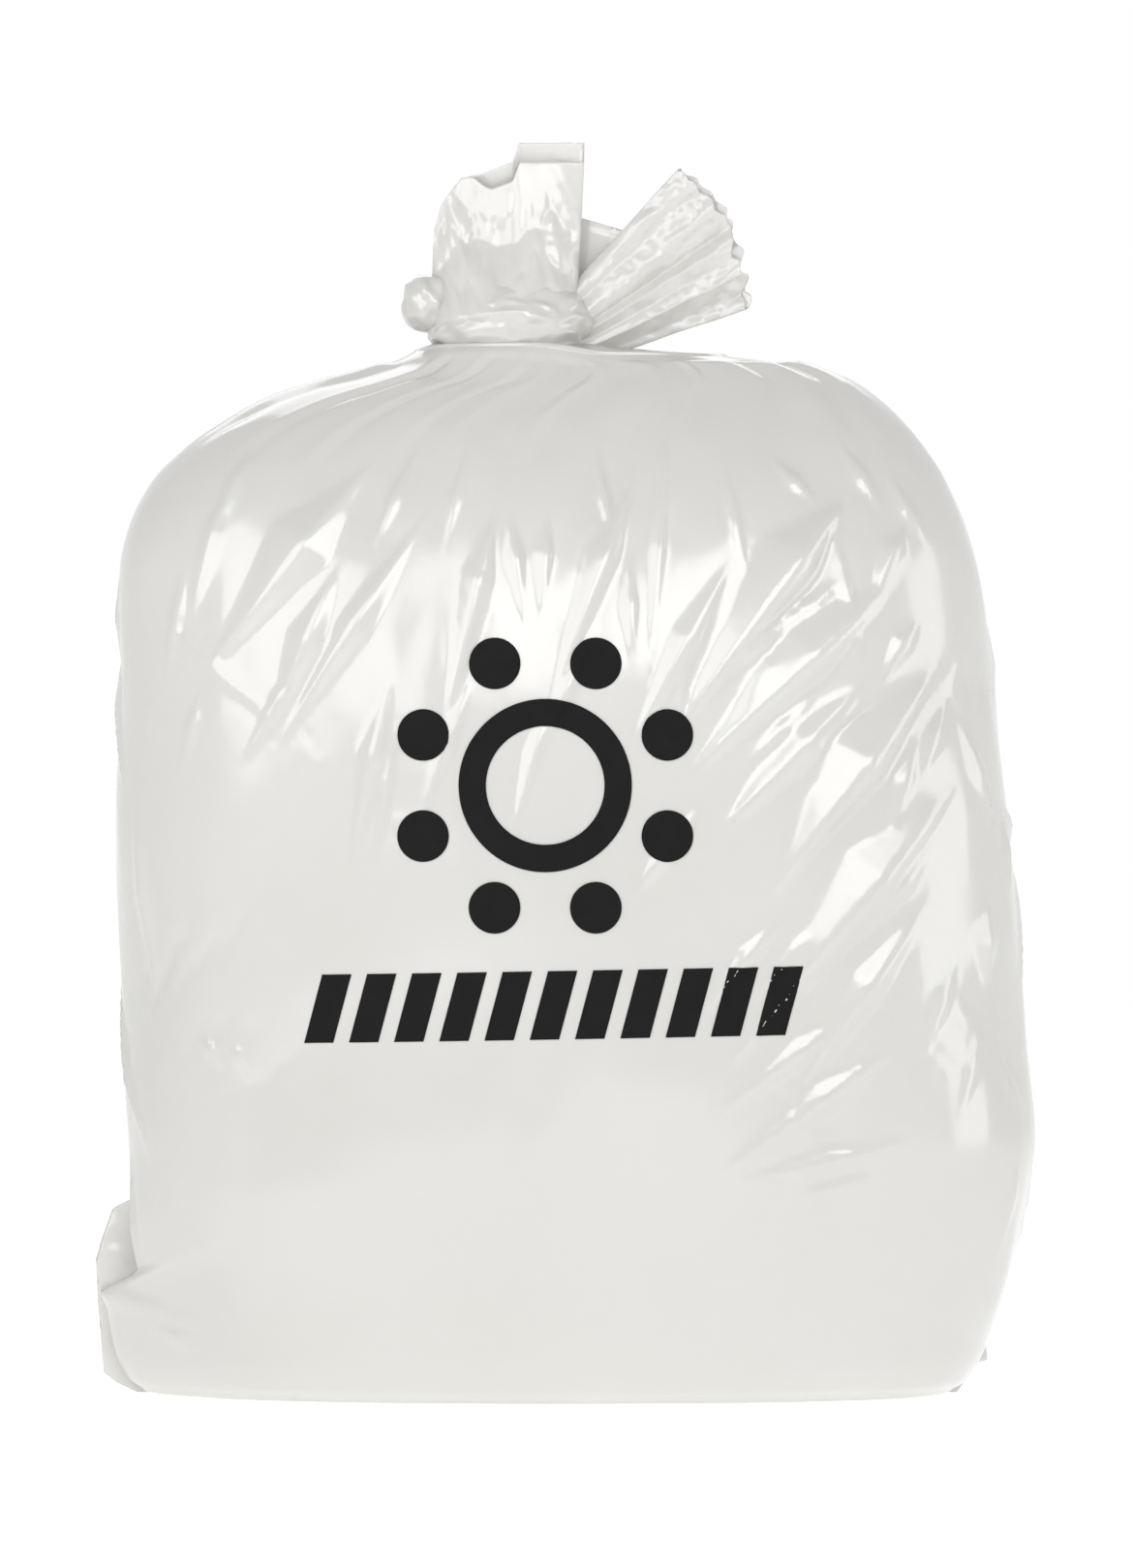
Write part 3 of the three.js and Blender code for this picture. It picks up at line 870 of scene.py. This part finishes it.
def make_softbox(name, azimuth, elevation, distance, size, power):
    """A rectangular lamp that looks at the middle of the bag."""
    aim = Vector((0, 0, BODY_HEIGHT / 2))
    a, e = math.radians(azimuth), math.radians(elevation)
    away = Vector((math.sin(a) * math.cos(e), -math.cos(a) * math.cos(e), math.sin(e)))
    data = bpy.data.lights.new(name, "AREA")
    data.shape = "RECTANGLE"
    data.size, data.size_y = size
    data.energy = power
    lamp = bpy.data.objects.new(name, data)
    lamp.location = aim + away * distance
    lamp.rotation_euler = (-away).to_track_quat("-Z", "Y").to_euler()
    bpy.context.scene.collection.objects.link(lamp)


def make_world():
    """A white room that lights the bag less than it shows, so that the lamps can draw the creases."""
    world = bpy.data.worlds.new("pale_room")
    world.use_nodes = True
    nodes, links = world.node_tree.nodes, world.node_tree.links
    path = nodes.new("ShaderNodeLightPath")
    dim = nodes.new("ShaderNodeMath")
    dim.operation = "MULTIPLY_ADD"
    dim.inputs[1].default_value = -ROOM_DIMMING
    dim.inputs[2].default_value = 1.0
    links.new(path.outputs["Is Diffuse Ray"], dim.inputs[0])
    room = nodes["Background"]
    room.inputs["Color"].default_value = (1, 1, 1, 1)
    links.new(dim.outputs[0], room.inputs["Strength"])
    bpy.context.scene.world = world


# Colours of the milky film where it is pale and where it is deep, on the body and where it is loose and thin
MILKY_PALE = (0.60, 0.595, 0.575, 1)
MILKY_DEEP = (0.545, 0.537, 0.51, 1)
THIN_PALE = (0.76, 0.75, 0.73, 1)
THIN_DEEP = (0.70, 0.69, 0.66, 1)
THIN_ALPHA = 0.76
INK_BLACK = (0.006, 0.006, 0.006, 1)
INK_GLOSS = 0.15

# A film shines at both its faces, so it is nearly twice as glossy as one face of plastic
FILM_GLOSS = 1.0


class Shade:
    """A value in a material's nodes that takes ordinary arithmetic."""

    def __init__(self, material, socket):
        self.material = material
        self.socket = socket

    def math(self, operation, *values):
        return self.material.add("ShaderNodeMath", {"operation": operation}, dict(enumerate(values)))

    def __add__(self, other):
        return self.math("ADD", self, other)

    def __mul__(self, other):
        return self.math("MULTIPLY", self, other)

    __radd__ = __add__
    __rmul__ = __mul__


class Material:
    """A node material with its Principled shader, to which nodes are added one at a time."""

    def __init__(self, name):
        self.data = bpy.data.materials.new(name)
        self.data.use_nodes = True
        self.nodes = self.data.node_tree.nodes
        self.shader = self.nodes["Principled BSDF"]

    def connect(self, value, socket):
        if isinstance(value, Shade):
            self.data.node_tree.links.new(value.socket, socket)
        else:
            socket.default_value = value

    def add(self, kind, settings, sockets, output=0):
        node = self.nodes.new(kind)
        for name, value in settings.items():
            setattr(node, name, value)
        for name, value in sockets.items():
            self.connect(value, node.inputs[name])
        return Shade(self, node.outputs[output])

    def set(self, **sockets):
        for name, value in sockets.items():
            self.connect(value, self.shader.inputs[name.replace("_", " ")])

    def place(self):
        return self.add("ShaderNodeTexCoord", {}, {}, "Object")

    def noise(self, place, scale, detail=2.0):
        sockets = {"Vector": place, "Scale": scale, "Detail": detail}
        return self.add("ShaderNodeTexNoise", {}, sockets, "Fac")

    def mix_color(self, share, low, high):
        """From the colour low to the colour high. A Mix node takes its two colours at inputs 6 and 7."""
        return self.add("ShaderNodeMix", {"data_type": "RGBA"}, {0: share, 6: low, 7: high}, 2)


def film_material(name, pale, deep, alpha):
    """Milky film, a little uneven in its milkiness and its gloss. Thin film shows what lies behind it."""
    material = Material(name)
    place = material.place()
    cloudy = material.noise(place, 7.0, 4.0)
    grain = material.noise(place, 60.0, 3.0)
    bump = material.add(
        "ShaderNodeBump",
        {},
        {"Strength": 0.08, "Distance": 0.002, "Height": material.noise(place, 38.0, 3.0) + grain * 0.15},
    )
    material.set(
        Base_Color=material.mix_color(cloudy, deep, pale),
        Roughness=0.11 + 0.09 * grain,
        IOR=1.5,
        Specular_IOR_Level=FILM_GLOSS,
        Alpha=alpha,
        Normal=bump,
    )
    return material.data


def ink_material():
    material = Material("black_ink")
    grain = material.noise(material.place(), 90.0)
    material.set(
        Base_Color=INK_BLACK,
        Roughness=0.68 + 0.14 * grain,
        Specular_IOR_Level=INK_GLOSS,
    )
    return material.data


def dress(piece, material):
    """Give a piece its material, hang it on the root and hide the imported bag."""
    piece.data.materials.append(material)
    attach(piece, "root")
    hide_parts("film_bag")


milky = film_material("milky_film", MILKY_PALE, MILKY_DEEP, 1.0)
thin = film_material("thin_film", THIN_PALE, THIN_DEEP, THIN_ALPHA)
ink = ink_material()

body = make_body()
dress(body, milky)
for piece in make_knot():
    dress(piece, milky)
ear, bunch, rim = make_ear(), make_bunch(), make_rim()
corners = [make_corner(name) for name in CORNER_EDGES]
for piece in (ear, bunch, rim, *corners):
    dress(piece, thin)
for piece in make_print(body):
    dress(piece, ink)

make_stage()
make_camera()
for name, values in SOFTBOXES.items():
    make_softbox(name, *values)
bpy.context.scene.view_settings.view_transform = "Standard"
make_world()
